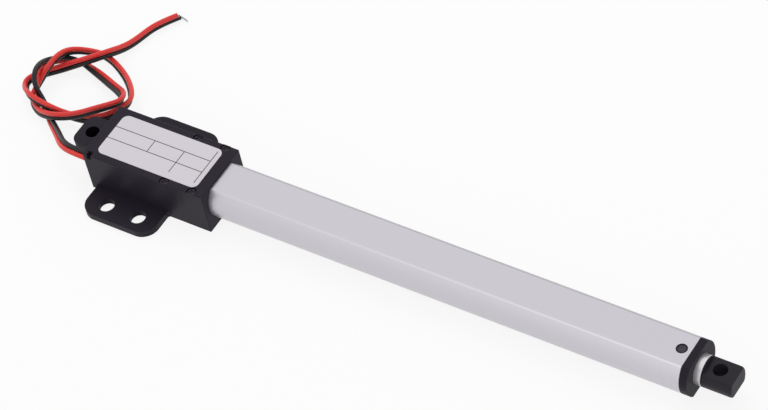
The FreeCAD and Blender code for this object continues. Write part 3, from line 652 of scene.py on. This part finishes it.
def make_screw_heads():
    """Flat round heads, each in a collar. The head is a grid of rings: its height drops by the cross's
    depth where a point lies in one of the two slots, and by the crown's drop times the square of the way
    from the crown's start to the rim. The collar is a section turned about the screw's axis. What would
    stand out of the housing's side is drawn in."""
    turn = full_turn(SCREW_SIDES)
    reach = np.linspace(0, SCREW_HEAD / 2, SCREW_RINGS)[:, None]
    turned = turn - math.radians(CROSS_TURN)
    along, across = np.abs(reach * np.cos(turned)), np.abs(reach * np.sin(turned))
    in_cross = (np.minimum(along, across) < CROSS_HALF) & (np.maximum(along, across) < CROSS_REACH)
    rim = np.clip((reach - CROWN_START) / (SCREW_HEAD / 2 - CROWN_START), 0, 1)
    top = rings_about_axis(turn, reach, SCREW_TOP - CROSS_DEPTH * in_cross - CROWN_DROP * rim ** 2)
    skirt = rings_about_axis(turn, SCREW_HEAD / 2, SCREW_TOP - SKIRT_DEPTH)
    head = np.concatenate([top, skirt[None]])
    section = np.array([(COLLAR_INNER, COLLAR_FOOT), (COLLAR_INNER, COLLAR_TOP - COLLAR_BEVEL),
                        (COLLAR_INNER + COLLAR_BEVEL, COLLAR_TOP), (COLLAR_OUTER, COLLAR_TOP),
                        (COLLAR_OUTER, COLLAR_TOP - COLLAR_SKIRT)])
    collar = rings_about_axis(turn, section[:, :1], section[:, 1:])
    head_limit = np.full((len(head), 1), HOUSING_SIDE - HEAD_INSET)
    collar_limit = HOUSING_SIDE - COLLAR_INSET * (np.arange(len(section)) < 3)[:, None]
    points, faces, material_of = [], [], []
    for place in SCREW_PLACES:
        for number, (grid, limit) in enumerate(((head, head_limit), (collar, collar_limit))):
            placed = grid + np.array([*place, 0])
            placed[..., 1] = np.clip(placed[..., 1], -limit, limit)
            first = sum(part.shape[0] * SCREW_SIDES for part in points)
            made = tube_faces(len(grid), SCREW_SIDES, first, closed=number == 0)
            faces += made
            material_of += [number] * len(made)
            points.append(placed)
    return new_piece("screw_heads", points, faces, [SCREW, HOUSING], material_of, smooth=False)


screw_heads = make_screw_heads()
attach(screw_heads, "base")
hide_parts("cover_screws")


# Rod end

# The reach from the hole's axis to the rear and to the front, which is 0.2 mm longer than in the CAD. The
# higher the power, the squarer the corners.
END_REAR = 4.0 * MM
END_FRONT = 5.2 * MM
REAR_POWER = 40.0
FRONT_POWER = 14.0
END_EDGE = 0.3 * MM
END_LIP = 0.02 * MM
END_SIDES = 160
EDGE_ROWS = 6
SIDE_ROWS = 8
DISC_LENGTH = 0.25 * MM
CREASE_ANGLE = 32


def make_rod_end():
    """A closed surface about the hole's axis. Its section runs from the hole's edge over the top, round the
    outer edge, down the side, in under and back up the hole's wall. Its outline is a soft rectangle: the
    shares of the length and of the half width, each raised to the power, add up to 1, and the half width at
    a height is that of the round bar. A thin disc joins it to the rod."""
    turn = full_turn(END_SIDES)
    ahead = np.cos(turn) > 0
    length, power = np.where(ahead, END_FRONT, END_REAR), np.where(ahead, FRONT_POWER, REAR_POWER)

    def outline(height):
        half_width = math.sqrt(ROD_RADIUS ** 2 - height ** 2)
        shares = (np.abs(np.cos(turn)) / length) ** power + (np.abs(np.sin(turn)) / half_width) ** power
        return shares ** (-1 / power)

    upper = [(np.full(END_SIDES, END_HOLE), END_FLAT - END_LIP),
             (np.full(END_SIDES, END_HOLE + END_LIP), END_FLAT)]
    for bend in np.linspace(0, math.pi / 2, EDGE_ROWS):
        height = END_FLAT - END_EDGE * (1 - math.cos(bend))
        upper.append((outline(height) - END_EDGE * (1 - math.sin(bend)), height))
    upper += [(outline(height), height) for height in np.linspace(END_FLAT - END_EDGE, 0, SIDE_ROWS)[1:-1]]
    section = upper + [(outline(0), 0.0)] + [(reach, -height) for reach, height in upper[::-1]]
    reaches = np.array([reach for reach, height in section])
    heights = np.array([[height] for reach, height in section])
    tongue = rings_about_axis(turn, reaches, heights) + np.array([END_HOLE_X, 0, 0])
    disc = rings_about_axis(turn, ROD_RADIUS, np.array([[ROD_FRONT], [ROD_FRONT + DISC_LENGTH]]))
    disc = np.roll(disc, 1, axis=-1)
    rows = len(section)
    faces = ring_faces(rows, END_SIDES) + tube_faces(2, END_SIDES, first=rows * END_SIDES)
    # The hole's wall and its two lips are the first strip of faces and the last two.
    strip = np.arange(len(faces)) // END_SIDES
    in_hole = np.isin(strip, (0, rows - 2, rows - 1)).astype(int).tolist()
    piece = new_piece("rod_end", [tongue, disc], faces, [ROD_END, ROD_END_BORE], in_hole)
    piece.data.set_sharp_from_angle(angle=math.radians(CREASE_ANGLE))
    return piece


rod_end = make_rod_end()
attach(rod_end, "rod")
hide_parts("clevis_end")


# Stage and light

SKY_LIGHT = 0.7
FLOOR_LIFT = 0.85
FLOOR_REACH = 3.0
FLOOR_WHITE = 0.9
LIGHT_TARGET = Vector((0.1, 0, 0))


def camera_or_glossy(tree):
    """1 for what the camera sees directly or in a reflection, else 0."""
    path = tree.nodes.new("ShaderNodeLightPath")
    return maths(tree, "MAXIMUM", path.outputs["Is Camera Ray"], path.outputs["Is Glossy Ray"])


def make_floor():
    """A floor that shows the camera and the reflections mostly plain white, and a little of its own
    shading, so that it keeps a faint shadow of the object."""
    mesh = bpy.data.meshes.new("floor")
    corners = [(x * FLOOR_REACH, y * FLOOR_REACH, FLOOR) for x, y in ((-1, -1), (1, -1), (1, 1), (-1, 1))]
    mesh.from_pydata(corners, [], [(0, 1, 2, 3)])
    floor = bpy.data.objects.new("floor", mesh)
    bpy.context.scene.collection.objects.link(floor)
    material, tree, shader = new_material("floor")
    shader.inputs["Base Color"].default_value = (FLOOR_WHITE, FLOOR_WHITE, FLOOR_WHITE, 1)
    shader.inputs["Roughness"].default_value = 0.9
    shader.inputs["Specular IOR Level"].default_value = 0.0
    white = tree.nodes.new("ShaderNodeEmission")
    mix = tree.nodes.new("ShaderNodeMixShader")
    tree.links.new(maths(tree, "MULTIPLY", camera_or_glossy(tree), FLOOR_LIFT), mix.inputs["Fac"])
    tree.links.new(shader.outputs["BSDF"], mix.inputs[1])
    tree.links.new(white.outputs["Emission"], mix.inputs[2])
    tree.links.new(mix.outputs["Shader"], tree.nodes["Material Output"].inputs["Surface"])
    mesh.materials.append(material)


def make_world():
    """White to the camera and in reflections, and a little weaker as light."""
    world = bpy.data.worlds.new("studio")
    world.use_nodes = True
    bpy.context.scene.world = world
    tree = world.node_tree
    shade = tree.nodes["Background"]
    shade.inputs["Color"].default_value = (1, 1, 1, 1)
    strength = tree.nodes.new("ShaderNodeMapRange")
    strength.inputs["To Min"].default_value = SKY_LIGHT
    strength.inputs["To Max"].default_value = 1.0
    tree.links.new(camera_or_glossy(tree), strength.inputs["Value"])
    tree.links.new(strength.outputs["Result"], shade.inputs["Strength"])


def add_area(name, place, size, power):
    """A square light that faces the middle of the object and doesn't show in reflections."""
    data = bpy.data.lights.new(name, "AREA")
    data.shape = "SQUARE"
    data.size = size
    data.energy = power
    light = bpy.data.objects.new(name, data)
    bpy.context.scene.collection.objects.link(light)
    aim = (LIGHT_TARGET - Vector(place)).to_track_quat("-Z", "Y")
    light.matrix_world = Matrix.Translation(place) @ aim.to_matrix().to_4x4()
    light.visible_glossy = False


make_floor()
make_world()
add_area("key", (-0.25, 0.35, 0.75), 0.6, 2.5)
add_area("fill", (0.7, -0.6, 0.5), 0.5, 1.0)
bpy.context.scene.view_settings.view_transform = "Standard"
